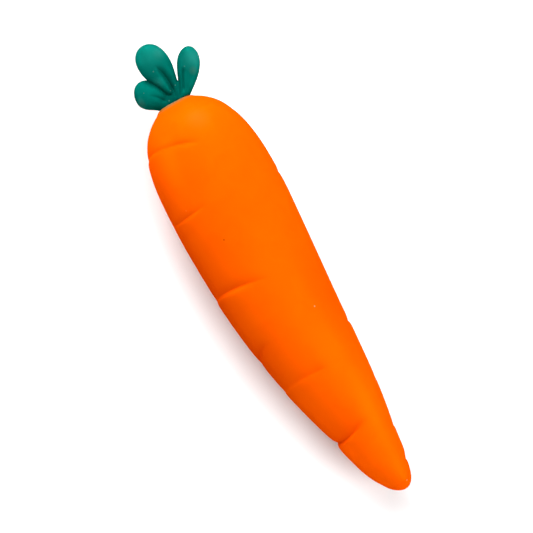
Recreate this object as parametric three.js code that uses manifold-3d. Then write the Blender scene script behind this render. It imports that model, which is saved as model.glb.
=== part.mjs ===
// A toy carrot moulded in soft rubber: a creased orange root, and a teal tuft of three fused leaves
// whose plug is bonded into a socket in the crown. Millimetres, +Z up.
//
// Each piece is modelled in the root's own frame. "along" is the distance from the crown towards the tip,
// "across" is sideways and "up" is away from the surface that the toy lies on. The root then lies on that
// surface with its axis a little tilted, because it tapers.

import * as THREE from "three";
import { mergeVertices } from "three/addons/utils/BufferGeometryUtils.js";
import Module from "manifold-3d";

// ---- Driving dimensions ----

const ROOT_LENGTH = 158.6;
const REST_ALONG = 63.5; // the root touches the surface under its centre of mass, this far from the crown
const AXIS_HEIGHT = 19.6; // height of the axis above the surface there
const AXIS_TILT = THREE.MathUtils.degToRad(3.4); // the crown end is the higher one
const GLUE_GAP = 0.3; // between the tuft and the root, all round

// Evenly spaced control values of a smooth curve from crown to tip, the first and last beyond the ends.
const RADIUS_CONTROLS = [23.73, 27.91, 21.05, 20.4, 17.53, 13.03, 4.48, 11.0];
const BEND_CONTROLS = [4.39, 0.73, 0.82, -1.09, -1.55, 1.08, 1.76, 14.22];

// The ends round off: radius times (1 - t ** squareness) ** sharpness, with t from 0 at "length" to 1 at
// the end.
const CROWN = { length: 50, squareness: 2.02, sharpness: 0.45 };
const TIP = { length: 15.6, squareness: 2.19, sharpness: 0.48 };

// The seat of the tuft: a low lip round it, which rises by "lean" towards one side and is lower at the
// front and back by "dip", and a slight lean of the seat across the root.
const LIP = { radius: 6.3, height: 0.5, lean: -0.05, dip: 0.4, width: 1.0, narrowing: 1.75 };
const SEAT_LEAN = 0.02;
const SEAT_LEAN_REACH = 8;

const PLUG_RADIUS = 2.2;
const PLUG_DEPTH = 9;
const PLUG_CHAMFER = 0.8;
const PLUG_TOP = -0.6; // the plug's other end, inside the neck
const SOCKET_MOUTH = 0.14; // how far along the crown's curve the socket opens

// Moulded creases. Each runs round the root through "middle" degrees from the top, to "reach" degrees each
// side, with its ends faded over "fade" degrees. It wanders along the root by slope and bend a quarter turn.
// It falls to "depth" over crownSide millimetres and rises again over tipSide, and its depth grows by
// exp(deepening) in a quarter turn. The skin swells past it and sinks before it, over swellReach. A depth
// below 0 is a low bulge: two are round a crease, one is round the crown and one fills out the tip.
const CREASE_FIELDS = [
  "at", "slope", "bend", "middle", "reach", "fade", "depth", "deepening", "crownSide", "tipSide",
  "swell", "swellReach",
];
const CREASE_SIZES = [
  [12.5, -1.3, 10.7, -60, 68, 22, 0.41, 0.77, 0.98, 0.67, 0.27, 1.6],
  [37.3, -1.5, -1.8, -60, 47, 42, 0.23, 2.0, 0.78, 0.6, 0.05, 4.3],
  [66.2, -3.0, 8.6, -60, 64, 46, 0.4, 2.0, 1.32, 0.9, 0.2, 8.0],
  [89.1, -9.6, 16.0, -60, 47, 45, 0.38, -2.0, 4.0, 4.0, -0.1, 8.0],
  [91.4, -12.0, 0, -70, 32, 16, 0.3, -2.0, 0.8, 0.8, 0.0, 5.0],
  [105.8, -5.0, 5.0, -60, 69, 18, 0.12, 2.0, 1.05, 1.8, 0.18, 8.0],
  [132.1, -2.2, -3.5, -60, 80, 35, 1.08, -0.5, 1.0, 2.6, 0.56, 8.0],
  [12.5, 2, 0, 110, 45, 25, 0.12, 0, 0.9, 1.3, 0.0, 5.0],
  [39.5, 2, 0, 110, 45, 25, 0.35, 0, 0.8, 1.2, 0.02, 5.0],
  [95.6, -3, 2, 110, 45, 25, 0.75, 0, 0.8, 0.9, 0.08, 5.0],
  [95.6, -3, 2, 110, 45, 25, -0.25, 0, 3.0, 12.0, 0.0, 5.0],
  [118.8, 2, 0, 110, 45, 25, 0.12, 0, 0.9, 1.3, 0.02, 5.0],
  [136.6, 0, 2, 110, 45, 25, 0.25, 0, 1.2, 1.2, 0.14, 5.0],
  [148.3, -2, 0, 108, 46, 25, 1.3, 0, 1.1, 1.3, 0.05, 5.0],
  [148.3, -2, 0, 108, 46, 25, -0.28, 0, 5.0, 5.0, 0.0, 5.0],
  [7.0, 0, 0, 90, 225, 45, -0.22, 0, 5.0, 7.0, 0.0, 5.0],
  [153.0, 0, 0, -100, 65, 40, -0.28, 0, 5.0, 4.0, 0.0, 5.0],
];
const CREASES = CREASE_SIZES.map((sizes) => {
  const pairs = CREASE_FIELDS.map((name, i) => [name, sizes[i]]);
  return Object.fromEntries(pairs);
});
const SWELL_CHANGE = 0.7; // the distance over which the skin goes from sinking to swelling
const CREASE_ROUNDING = 0.2; // softens the bottom of each crease

// Each leaf grows along a curve from root, towards bend, to tip, given as [across, along], and its tip
// stands "lift" above the root's axis. Its half-width grows from a share at the root to "width" at
// "fullest", and then rounds off. "groove" is the groove's place across the leaf at its root, middle and
// end, as a share of the half-width, and "grooveDepth" a share of the thickness.
const LEAVES = [
  {
    root: [-0.05, 1.69], bend: [-3.39, -6.59], tip: [-9.0, -9.84], lift: -1.4,
    width: 5.05, rootShare: 0.54, fullest: 0.59, roundness: 2.45, rootThickness: 1.8, thickness: 3.5,
    groove: [0.2, 0.09, -0.12], grooveEnd: 0.64, grooveDepth: 0.26, grooveWidth: 0.16,
  },
  {
    root: [3.78, 0.68], bend: [2.48, -10.66], tip: [1.24, -22.07], lift: 1.9,
    width: 5.6, rootShare: 0.33, fullest: 0.67, roundness: 2.38, rootThickness: 1.8, thickness: 4.3,
    groove: [-0.6, 0.12, -0.08], grooveEnd: 0.68, grooveDepth: 0.44, grooveWidth: 0.22,
  },
  {
    root: [4.76, 0.39], bend: [10.68, -4.84], tip: [15.52, -14.24], lift: 1.2,
    width: 4.04, rootShare: 0.49, fullest: 0.7, roundness: 2.05, rootThickness: 2.7, thickness: 3.3,
    groove: [0.1, -0.42, -0.5], grooveEnd: 0.66, grooveDepth: 0.3, grooveWidth: 0.16,
  },
];
const LEAF_ROOT_RUN = -0.25; // how far back each leaf runs into the neck, as a share of its curve
const GROOVE_BACK = 0.5; // the back's grooves against the front's
const GROOVE_FADE = 0.72; // where each groove starts to run out, as a share of its length
const GROOVE_ROUNDING = 0.07; // as a share of the half-width
const NECK = { along: 0.5, across: 1.5, halfLength: 5, halfWidth: 5.3, halfThickness: 2.3 };

// Fingers of rubber between the leaves: rounded bars along a curve, whose middle is at "height" at each end.
const LOBES = [
  {
    root: [2.0, -2.7], bend: [2.3, -8.0], tip: [0.0, -16.0], height: [1.3, 2.9],
    halfWidth: 2.3, halfThickness: 2.3, bluntness: 0.6,
  },
  {
    root: [4.8, -1.2], bend: [5.5, -3.2], tip: [6.25, -5.3], height: [0.4, 0.6],
    halfWidth: 1.1, halfThickness: 1.3, bluntness: 0.5,
  },
];

const SKIN_SAMPLES = 4000;
const CREASE_CLOSENESS = 1.6; // how much closer the rows are at a crease, for each millimetre of its depth
const CREASE_REACH = 3;
const ROOT_ROWS = 104;
const ROOT_SIDES = 48;
const SEAT_ROWS = 16;
const LEAF_ROWS = 22;
const LEAF_FRONT_SIDES = 20;
const LEAF_BACK_SIDES = 12;
const LOBE_ROWS = 14;
const LOBE_SIDES = 16;
const NECK_SIDES = 28;
const NECK_ROWS = 16;
const PLUG_SIDES = 32;
const SLAB = { length: 400, width: 200, thickness: 50 };

// ---- Curves ----

const clamp = THREE.MathUtils.clamp;

// A uniform cubic B-spline through its control values, at a share from 0 to 1 of the way along.
function smoothCurve(controls, share) {
  const spans = controls.length - 3;
  const place = clamp(share, 0, 1) * spans;
  const first = Math.min(Math.floor(place), spans - 1);
  const t = place - first;
  const weights = [
    (1 - t) ** 3 / 6,
    (3 * t ** 3 - 6 * t ** 2 + 4) / 6,
    (-3 * t ** 3 + 3 * t ** 2 + 3 * t + 1) / 6,
    t ** 3 / 6,
  ];
  return weights.reduce((sum, weight, i) => sum + weight * controls[first + i], 0);
}

// 1 away from an end of the root, falling to 0 at the end itself.
function roundedEnd(distance, end) {
  const t = clamp(1 - distance / end.length, 0, 1);
  return (1 - t ** end.squareness) ** end.sharpness;
}

function rootRadius(along) {
  const share = along / ROOT_LENGTH;
  const body = smoothCurve(RADIUS_CONTROLS, share);
  return body * roundedEnd(along, CROWN) * roundedEnd(ROOT_LENGTH - along, TIP);
}

function rootBend(along) {
  return smoothCurve(BEND_CONTROLS, along / ROOT_LENGTH);
}

// A bell-shaped bump: 1 at 0, and nearly 0 past 2.
function bell(x) {
  return Math.exp(-x * x);
}

// How far a crease sinks the skin at a place along the root and an angle in degrees from the top.
function creaseDepth(crease, along, angle) {
  const turn = THREE.MathUtils.euclideanModulo(angle - crease.middle + 180, 360) - 180;
  const quarter = turn / 90;
  const off = along - (crease.at + crease.slope * quarter + crease.bend * quarter ** 2);
  const width = off < 0 ? crease.crownSide : crease.tipSide;
  const distance = Math.hypot(off, CREASE_ROUNDING) - CREASE_ROUNDING;
  const depth = crease.depth * Math.exp(crease.deepening * quarter);
  const dent = depth * Math.exp(-distance / width);
  const beyond = Math.exp(-Math.abs(off) / crease.swellReach);
  const swell = crease.swell * Math.tanh(off / SWELL_CHANGE) * beyond;
  const strength = THREE.MathUtils.smoothstep(crease.reach - Math.abs(turn), 0, crease.fade);
  return strength * (dent - swell);
}

function allCreases(along, angle) {
  return CREASES.reduce((sum, crease) => sum + creaseDepth(crease, along, angle), 0);
}

// ---- Surfaces ----

// The root's own frame: x towards the crown from above the resting place, y sideways, z up.
function place(along, across, up) {
  return new THREE.Vector3(REST_ALONG - along, -across, up);
}

// A closed surface from rows of points. Each row goes once round, and a row of one point is a pole.
function closedSurface(rows) {
  const points = rows.flat();
  const starts = [0];
  for (const row of rows) starts.push(starts.at(-1) + row.length);
  const index = [];
  for (let r = 0; r + 1 < rows.length; r++) {
    const sides = Math.max(rows[r].length, rows[r + 1].length);
    for (let i = 0; i < sides; i++) {
      const j = (i + 1) % sides;
      const a = starts[r] + (rows[r].length > 1 ? i : 0);
      const b = starts[r] + (rows[r].length > 1 ? j : 0);
      const c = starts[r + 1] + (rows[r + 1].length > 1 ? i : 0);
      const d = starts[r + 1] + (rows[r + 1].length > 1 ? j : 0);
      if (a !== b) index.push(a, c, b);
      if (c !== d) index.push(b, c, d);
    }
  }
  const geometry = new THREE.BufferGeometry().setFromPoints(points);
  geometry.setIndex(index);
  return geometry;
}

// Angles once round, in degrees.
function turnAngles(sides) {
  return Array.from({ length: sides }, (_, i) => (360 * i) / sides - 180);
}

// A point of the root's skin. Near the crown's middle the lip stands up and the seat leans.
function skinPoint(along, angle, grown = 0) {
  const turned = THREE.MathUtils.degToRad(angle);
  const radius = rootRadius(along) - allCreases(along, angle);
  const across = radius * Math.sin(turned);
  const up = radius * Math.cos(turned);
  const height = LIP.height + LIP.lean * Math.sin(turned) - LIP.dip * Math.cos(turned) ** 2;
  const lip = height * bell((Math.hypot(across, up * LIP.narrowing) - LIP.radius) / LIP.width);
  const lean = SEAT_LEAN * across * bell(radius / SEAT_LEAN_REACH);
  return place(along - lip + lean - grown, rootBend(along) + across, up);
}

// Places along the root that part its skin evenly, closer together round the creases.
function skinRows(count) {
  const far = ROOT_LENGTH - SOCKET_MOUTH;
  const shares = Array.from({ length: SKIN_SAMPLES + 1 }, (_, i) => i / SKIN_SAMPLES);
  const sampled = shares.map((share) => SOCKET_MOUTH + far * share);
  const travelled = [0];
  for (let i = 1; i <= SKIN_SAMPLES; i++) {
    const [from, to] = [sampled[i - 1], sampled[i]];
    const step = Math.hypot(to - from, rootRadius(to) - rootRadius(from));
    const crowding = CREASES.reduce((sum, c) => sum + c.depth * bell((to - c.at) / CREASE_REACH), 0);
    travelled.push(travelled[i - 1] + step * (1 + CREASE_CLOSENESS * crowding));
  }
  const total = travelled[SKIN_SAMPLES];
  return Array.from({ length: count }, (_, k) => {
    const wanted = (total * k) / (count - 1);
    return sampled[travelled.findIndex((t) => t >= wanted - 1e-9)];
  });
}

// The root with its socket: from the middle of the socket's floor, up its wall, over the crown, to the tip.
function rootGeometry() {
  const angles = turnAngles(ROOT_SIDES);
  const middle = rootBend(0);
  const depth = PLUG_DEPTH + GLUE_GAP;
  const wall = rootRadius(SOCKET_MOUTH);
  const ring = (along, radius) =>
    angles.map((angle) => {
      const turned = THREE.MathUtils.degToRad(angle);
      return place(along, middle + radius * Math.sin(turned), radius * Math.cos(turned));
    });
  const skin = skinRows(ROOT_ROWS).slice(0, -1);
  const rows = [
    [place(depth, middle, 0)],
    ring(depth, wall - PLUG_CHAMFER),
    ring(depth - PLUG_CHAMFER, wall),
    ...skin.map((along) => angles.map((angle) => skinPoint(along, angle))),
    [place(ROOT_LENGTH, rootBend(ROOT_LENGTH), 0)],
  ];
  return closedSurface(rows);
}

// What the tuft is cut back by: the crown's own surface, moved out by the glue gap.
function crownCutter() {
  const angles = turnAngles(ROOT_SIDES);
  const rows = skinRows(ROOT_ROWS).slice(0, SEAT_ROWS);
  const last = rows[rows.length - 1] + PLUG_DEPTH;
  return closedSurface([
    [place(-GLUE_GAP, rootBend(0), 0)],
    ...rows.map((along) => angles.map((angle) => skinPoint(along, angle, GLUE_GAP))),
    [place(last, rootBend(0), 0)],
  ]);
}

// The middle and the heading of a leaf or a lobe at a share of its curve, a Bezier curve of three points.
function curvePlace(grown, share) {
  const [root, bend, tip] = [grown.root, grown.bend, grown.tip].map((p) => new THREE.Vector2(...p));
  const middle = root.clone().multiplyScalar((1 - share) ** 2);
  middle.addScaledVector(bend, 2 * share * (1 - share)).addScaledVector(tip, share ** 2);
  const heading = bend.clone().sub(root).multiplyScalar(1 - share);
  heading.addScaledVector(tip.clone().sub(bend), share).normalize();
  return { middle, heading };
}

// A point on a leaf: "share" runs from below 0 in the neck to 1 at the tip, "angle" goes round the section.
function leafPoint(leaf, share, angle) {
  const { middle, heading } = curvePlace(leaf, share);
  const swell = Math.sin((Math.PI / 2) * clamp(share / leaf.fullest, 0, 1)) ** 2;
  const past = clamp((share - leaf.fullest) / (1 - leaf.fullest), 0, 1);
  const cap = Math.sqrt(1 - past ** leaf.roundness);
  const halfWidth = leaf.width * (leaf.rootShare + (1 - leaf.rootShare) * swell) * cap;
  const halfThickness = (leaf.rootThickness + (leaf.thickness - leaf.rootThickness) * swell) * cap;
  const side = Math.cos(angle);
  const dent = 1 - grooveDepth(leaf, share, side, Math.sin(angle) > 0);
  const across = middle.x - heading.y * halfWidth * side;
  const along = middle.y + heading.x * halfWidth * side;
  const lift = leaf.lift * clamp(share, 0, 1);
  return place(along, across, lift + halfThickness * Math.sin(angle) * dent);
}

// How deep the leaf's groove is at a place, as a share of the leaf's thickness there.
function grooveDepth(leaf, share, side, isFront) {
  const [root, middle, end] = leaf.groove;
  const t = clamp(share / leaf.grooveEnd, 0, 1);
  const centre = root * (1 - t) * (1 - 2 * t) + 4 * middle * t * (1 - t) + end * t * (2 * t - 1);
  const fade = 1 - THREE.MathUtils.smoothstep(t, GROOVE_FADE, 1);
  const depth = leaf.grooveDepth * (isFront ? 1 : GROOVE_BACK);
  const distance = Math.hypot(side - centre, GROOVE_ROUNDING) - GROOVE_ROUNDING;
  return depth * fade * Math.exp(-distance / leaf.grooveWidth);
}

function leafGeometry(leaf) {
  const front = Array.from({ length: LEAF_FRONT_SIDES }, (_, i) => (Math.PI * i) / LEAF_FRONT_SIDES);
  const back = Array.from({ length: LEAF_BACK_SIDES }, (_, i) => Math.PI * (1 + i / LEAF_BACK_SIDES));
  const angles = [...front, ...back];
  const shares = Array.from({ length: LEAF_ROWS }, (_, i) => {
    const t = i / (LEAF_ROWS - 1);
    return LEAF_ROOT_RUN + (1 - LEAF_ROOT_RUN) * Math.sin((Math.PI / 2) * t);
  });
  const last = shares.pop();
  const start = leafPoint(leaf, shares[0], 0).add(leafPoint(leaf, shares[0], Math.PI)).multiplyScalar(0.5);
  return closedSurface([
    [start],
    ...shares.map((share) => angles.map((angle) => leafPoint(leaf, share, angle))),
    [leafPoint(leaf, last, 0)],
  ]);
}

// A point on a lobe: "turn" runs from 0 at its root to pi at its tip, and "angle" goes round the section.
function lobePoint(lobe, turn, angle) {
  const share = (1 - Math.cos(turn)) / 2;
  const cap = Math.sin(turn) ** lobe.bluntness;
  const { middle, heading } = curvePlace(lobe, share);
  const side = lobe.halfWidth * cap * Math.cos(angle);
  const up = lobe.halfThickness * cap * Math.sin(angle);
  const height = THREE.MathUtils.lerp(...lobe.height, share) + up;
  return place(middle.y + heading.x * side, middle.x - heading.y * side, height);
}

function lobeGeometry(lobe) {
  const angles = Array.from({ length: LOBE_SIDES }, (_, i) => (2 * Math.PI * i) / LOBE_SIDES);
  const turns = Array.from({ length: LOBE_ROWS - 1 }, (_, i) => (Math.PI * (i + 1)) / LOBE_ROWS);
  return closedSurface([
    [lobePoint(lobe, 0, 0)],
    ...turns.map((turn) => angles.map((angle) => lobePoint(lobe, turn, angle))),
    [lobePoint(lobe, Math.PI, 0)],
  ]);
}

// The short neck that the leaves grow out of.
function neckGeometry() {
  const neck = new THREE.SphereGeometry(1, NECK_SIDES, NECK_ROWS);
  neck.scale(NECK.halfLength, NECK.halfWidth, NECK.halfThickness);
  const middle = place(NECK.along, NECK.across, 0);
  return neck.translate(middle.x, middle.y, middle.z);
}

// The plug under the neck: a chamfered peg from inside the neck down to the socket's floor.
function plugGeometry() {
  const outline = [
    [0, PLUG_TOP],
    [PLUG_RADIUS, PLUG_TOP],
    [PLUG_RADIUS, PLUG_DEPTH - PLUG_CHAMFER],
    [PLUG_RADIUS - PLUG_CHAMFER, PLUG_DEPTH],
    [0, PLUG_DEPTH],
  ];
  const peg = new THREE.LatheGeometry(
    outline.map(([radius, along]) => new THREE.Vector2(radius, along)),
    PLUG_SIDES,
  );
  peg.rotateZ(Math.PI / 2);
  const middle = place(0, rootBend(0), 0);
  return peg.translate(middle.x, middle.y, middle.z);
}

// The surface that the toy lies on, as a slab in the root's frame.
function floorSlab() {
  const slab = new THREE.BoxGeometry(SLAB.length, SLAB.width, SLAB.thickness);
  slab.translate(0, 0, -SLAB.thickness / 2 - AXIS_HEIGHT);
  return slab.rotateY(AXIS_TILT);
}

// ---- Joining and cutting ----

const wasm = await Module();
wasm.setup();

function solidFrom(geometry) {
  const bare = geometry.clone();
  bare.deleteAttribute("normal");
  bare.deleteAttribute("uv");
  const merged = mergeVertices(bare, 1e-4);
  const mesh = new wasm.Mesh({
    numProp: 3,
    vertProperties: merged.attributes.position.array,
    triVerts: new Uint32Array(merged.index.array),
  });
  return new wasm.Manifold(mesh);
}

function geometryFrom(solid) {
  const mesh = solid.getMesh();
  const geometry = new THREE.BufferGeometry();
  geometry.setAttribute("position", new THREE.BufferAttribute(mesh.vertProperties, 3));
  geometry.setIndex(new THREE.BufferAttribute(mesh.triVerts, 1));
  geometry.computeVertexNormals();
  return geometry;
}

function rootSolid() {
  return solidFrom(rootGeometry()).subtract(solidFrom(floorSlab()));
}

function tuftSolid() {
  const limbs = [...LEAVES.map(leafGeometry), ...LOBES.map(lobeGeometry)];
  const grown = limbs.reduce((all, limb) => all.add(solidFrom(limb)), solidFrom(neckGeometry()));
  return grown.subtract(solidFrom(crownCutter())).add(solidFrom(plugGeometry()));
}

// ---- The object ----

const orangeRubber = new THREE.MeshStandardMaterial({ color: 0xff6a00, roughness: 0.5, metalness: 0 });
const tealRubber = new THREE.MeshStandardMaterial({ color: 0x00786a, roughness: 0.5, metalness: 0 });

const rootBody = new THREE.Mesh(geometryFrom(rootSolid()), orangeRubber);
rootBody.name = "root_body";

const leafTuft = new THREE.Mesh(geometryFrom(tuftSolid()), tealRubber);
leafTuft.name = "leaf_tuft";

const carrot = new THREE.Group();
carrot.rotation.y = -AXIS_TILT;
carrot.position.z = AXIS_HEIGHT;
carrot.add(rootBody, leafTuft);

const part = new THREE.Group();
part.add(carrot);

export default part;
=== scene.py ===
# %% [markdown]
# # A toy carrot in soft rubber
#
# The carrot is two mouldings. The orange root is one fat, gently bent body with soft creases pressed into
# its skin. The teal tuft is three rounded leaves that grow out of one neck, and a plug under the neck is
# glued into a socket in the crown. Both pieces could be sculpted by hand, but every form here is smooth and
# simple, so each is worked out as a surface: a formula takes a place along the piece and an angle round it,
# and gives a point.

# %% Load the measured frame
import math

import bpy
import numpy as np
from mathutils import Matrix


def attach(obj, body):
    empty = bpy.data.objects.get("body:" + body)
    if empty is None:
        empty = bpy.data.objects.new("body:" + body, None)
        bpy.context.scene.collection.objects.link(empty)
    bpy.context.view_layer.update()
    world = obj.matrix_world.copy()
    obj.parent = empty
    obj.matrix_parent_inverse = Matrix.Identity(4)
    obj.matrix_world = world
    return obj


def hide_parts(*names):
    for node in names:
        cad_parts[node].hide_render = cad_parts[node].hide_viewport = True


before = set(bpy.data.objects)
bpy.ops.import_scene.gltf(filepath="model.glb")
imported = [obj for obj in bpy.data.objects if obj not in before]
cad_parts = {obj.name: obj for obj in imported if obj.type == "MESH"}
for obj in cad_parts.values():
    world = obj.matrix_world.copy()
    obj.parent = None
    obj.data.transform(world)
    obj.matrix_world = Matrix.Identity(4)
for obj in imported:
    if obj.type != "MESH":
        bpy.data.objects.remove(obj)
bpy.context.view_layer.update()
MM = 0.001  # the sizes below are in millimetres, and every mesh is in metres

# %% [markdown]
# ## The camera
#
# The carrot lies along the X axis with its crown towards +X, and it is seen from straight above. Turning the
# camera about its own line of sight lays the carrot across the view from the upper left to the lower right. A
# long lens from half a metre keeps the crown and the tip at nearly the same scale.

# %% Place the camera
CAMERA_HEIGHT = 538.4
CAMERA_OVER = (-2.2, -0.57)
CAMERA_TURN = math.radians(-120.152)
LENS = 100
SENSOR = 36


def add_object(name, data):
    """A new object that is part of the scene."""
    made = bpy.data.objects.new(name, data)
    bpy.context.scene.collection.objects.link(made)
    return made


camera = add_object("camera", bpy.data.cameras.new("camera"))
camera.data.lens = LENS
camera.data.sensor_width = SENSOR
camera.location = (CAMERA_OVER[0] * MM, CAMERA_OVER[1] * MM, CAMERA_HEIGHT * MM)
camera.rotation_euler = (0, 0, CAMERA_TURN)
bpy.context.scene.camera = camera
print("the view is", round(CAMERA_HEIGHT * SENSOR / LENS), "mm wide at the floor")

# %% [markdown]
# ## Curves that shape the pieces
#
# The root is almost round everywhere, so two curves along it say nearly all: its radius, and how far its
# middle wanders sideways. A cubic B-spline is a good curve for a moulding, because it can't kink. Its ends
# then need rounding off, which a power of the distance from the end does better than more control values
# would. The eight values of each curve and the roundings of both ends weren't chosen by hand: they come from
# a least-squares fit to the toy's outline.

# %% Curves along the root
ROOT_LENGTH = 158.6
RADIUS_CONTROLS = (23.73, 27.91, 21.05, 20.4, 17.53, 13.03, 4.48, 11.0)
BEND_CONTROLS = (4.39, 0.73, 0.82, -1.09, -1.55, 1.08, 1.76, 14.22)
CROWN_END = {"length": 50, "squareness": 2.02, "sharpness": 0.45}
TIP_END = {"length": 15.6, "squareness": 2.19, "sharpness": 0.48}


def smooth_curve(controls, share):
    """A uniform cubic B-spline: each place blends its four nearest controls, by cubic weights that
    sum to 1."""
    controls = np.asarray(controls, float)
    spans = len(controls) - 3
    place = np.clip(share, 0, 1) * spans
    first = np.minimum(place.astype(int), spans - 1)
    t = place - first
    weights = ((1 - t) ** 3, 3 * t**3 - 6 * t**2 + 4, -3 * t**3 + 3 * t**2 + 3 * t + 1, t**3)
    return sum(weight * controls[first + i] for i, weight in enumerate(weights)) / 6


def rounded_end(distance, end):
    """1 away from an end and 0 at it: (1 - t ** squareness) ** sharpness, with t from 0 at "length" to 1."""
    t = np.clip(1 - distance / end["length"], 0, 1)
    return (1 - t ** end["squareness"]) ** end["sharpness"]


def root_radius(along):
    """The B-spline of the radii, times the rounding of the crown and of the tip."""
    body = smooth_curve(RADIUS_CONTROLS, along / ROOT_LENGTH)
    return body * rounded_end(along, CROWN_END) * rounded_end(ROOT_LENGTH - along, TIP_END)


def root_bend(along):
    """How far the middle of the root lies to one side."""
    return smooth_curve(BEND_CONTROLS, along / ROOT_LENGTH)


def bell(x):
    """exp(-x^2): 1 at 0, and nearly 0 past 2."""
    return np.exp(-x * x)


def smooth_step(low, high, x):
    """0 up to low, 1 from high, and 3t^2 - 2t^3 between them."""
    t = np.clip((x - low) / (high - low), 0, 1)
    return t * t * (3 - 2 * t)


samples = np.linspace(0, ROOT_LENGTH, 1000)
print("the root is", round(2 * root_radius(samples).max(), 1), "mm across at its widest")

# %% [markdown]
# ## Creases
#
# The maker pressed creases into the mould, each a short soft fold that runs part of the way round. On the
# mould a crease is a shallow cut, and the skin stands a little proud of it on the side of the tip, so it
# catches a light edge there. They could be sculpted or cut by a boolean, but then each would be a mesh of its
# own. As a term of the formula a crease is a row of numbers: a dent whose depth falls off exponentially on
# both sides, at two different rates, and a long, low swell that changes sign at the crease. The first seven
# rows are the six creases on the left of the view, and the fourth and fifth of them make one, a narrow cut in
# a wide hollow. The next eight rows are on the right, where a crease is only seen as a notch in the outline.
# A row whose depth is below 0 is a low bulge: two of the notches stand in one, the crown has one all round,
# and the last one fills out the tip. The rows of the six creases on the left come from a least-squares fit to
# the outline and to the shading of the skin, rounded, but for the fifth row, which was given, like all that
# follow them.

# %% The creases
CREASE_FIELDS = (
    "at slope bend middle reach fade depth deepening crown_side tip_side swell swell_reach".split()
)
CREASE_SIZES = (
    (12.5, -1.3, 10.7, -60, 68, 22, 0.41, 0.77, 0.98, 0.67, 0.27, 1.6),
    (37.3, -1.5, -1.8, -60, 47, 42, 0.23, 2.0, 0.78, 0.6, 0.05, 4.3),
    (66.2, -3.0, 8.6, -60, 64, 46, 0.4, 2.0, 1.32, 0.9, 0.2, 8.0),
    (89.1, -9.6, 16.0, -60, 47, 45, 0.38, -2.0, 4.0, 4.0, -0.1, 8.0),
    (91.4, -12.0, 0, -70, 32, 16, 0.3, -2.0, 0.8, 0.8, 0.0, 5.0),
    (105.8, -5.0, 5.0, -60, 69, 18, 0.12, 2.0, 1.05, 1.8, 0.18, 8.0),
    (132.1, -2.2, -3.5, -60, 80, 35, 1.08, -0.5, 1.0, 2.6, 0.56, 8.0),
    (12.5, 2, 0, 110, 45, 25, 0.12, 0, 0.9, 1.3, 0.0, 5.0),
    (39.5, 2, 0, 110, 45, 25, 0.35, 0, 0.8, 1.2, 0.02, 5.0),
    (95.6, -3, 2, 110, 45, 25, 0.75, 0, 0.8, 0.9, 0.08, 5.0),
    (95.6, -3, 2, 110, 45, 25, -0.25, 0, 3.0, 12.0, 0.0, 5.0),
    (118.8, 2, 0, 110, 45, 25, 0.12, 0, 0.9, 1.3, 0.02, 5.0),
    (136.6, 0, 2, 110, 45, 25, 0.25, 0, 1.2, 1.2, 0.14, 5.0),
    (148.3, -2, 0, 108, 46, 25, 1.3, 0, 1.1, 1.3, 0.05, 5.0),
    (148.3, -2, 0, 108, 46, 25, -0.28, 0, 5.0, 5.0, 0.0, 5.0),
    (7.0, 0, 0, 90, 225, 45, -0.22, 0, 5.0, 7.0, 0.0, 5.0),
    (153.0, 0, 0, -100, 65, 40, -0.28, 0, 5.0, 4.0, 0.0, 5.0),
)
CREASES = [dict(zip(CREASE_FIELDS, sizes)) for sizes in CREASE_SIZES]
CREASE_ROUNDING = 0.2
SWELL_CHANGE = 0.7


def crease_place(crease, along, angle):
    """How far a point is past the crease, whose line wanders by slope and bend per quarter turn, how
    many quarter turns it is from the crease's middle, and the crease's strength there, which fades to 0
    at "reach" degrees."""
    turn = np.mod(angle - crease["middle"] + 180, 360) - 180
    quarter = turn / 90
    off = along - (crease["at"] + crease["slope"] * quarter + crease["bend"] * quarter**2)
    return off, quarter, smooth_step(0, crease["fade"], crease["reach"] - np.abs(turn))


def crease_depth(crease, along, angle):
    """The dent is depth * exp(-distance / width), with a width for each side and a depth that grows along
    the crease by exp(deepening) in a quarter turn. The swell raises the skin past the crease and lowers it
    before, as tanh of the distance times an exponential that dies out further off."""
    off, quarter, strength = crease_place(crease, along, angle)
    width = np.where(off < 0, crease["crown_side"], crease["tip_side"])
    depth = crease["depth"] * np.exp(crease["deepening"] * quarter)
    dent = depth * np.exp((CREASE_ROUNDING - np.hypot(off, CREASE_ROUNDING)) / width)
    swell = crease["swell"] * np.tanh(off / SWELL_CHANGE) * np.exp(-np.abs(off) / crease["swell_reach"])
    return strength * (dent - swell)


def all_creases(along, angle):
    """The sum of the depths of all the creases and bulges."""
    return sum(crease_depth(crease, along, angle) for crease in CREASES)


depths = [crease["depth"] for crease in CREASES]
print(sum(depth < 0 for depth in depths), "low bulges, and creases up to", max(depths), "mm deep")

# %% [markdown]
# ## From a formula to a mesh
#
# A surface formula fills a grid of points, one row for each place along the piece and one column for each
# angle. Quads join each point to its neighbours, and a single point closes each end. The whole piece is then
# laid down as it rests: the root tapers, so its axis is tilted a little and the skin underneath touches the
# floor. Rubber that lies on a table flattens there, which is what stopping the points at the floor does.

# %% Grids, and how the carrot lies
REST_ALONG = 63.5
AXIS_HEIGHT = 19.6
AXIS_TILT = math.radians(3.4)
TOP_SEARCH = 0.6
CM = 10 * MM


def lie_down(along, across, up):
    """Places measured from the crown, sideways and upwards become points in metres: the axis turns about Y
    by the tilt and rises to its height, and nothing goes below the floor."""
    x, y, z = np.broadcast_arrays(REST_ALONG - along, -np.asarray(across, float), up)
    turned_x = x * math.cos(AXIS_TILT) - z * math.sin(AXIS_TILT)
    turned_z = x * math.sin(AXIS_TILT) + z * math.cos(AXIS_TILT) + AXIS_HEIGHT
    return np.stack([turned_x, y, np.maximum(turned_z, 0)], axis=-1) * MM


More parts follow.
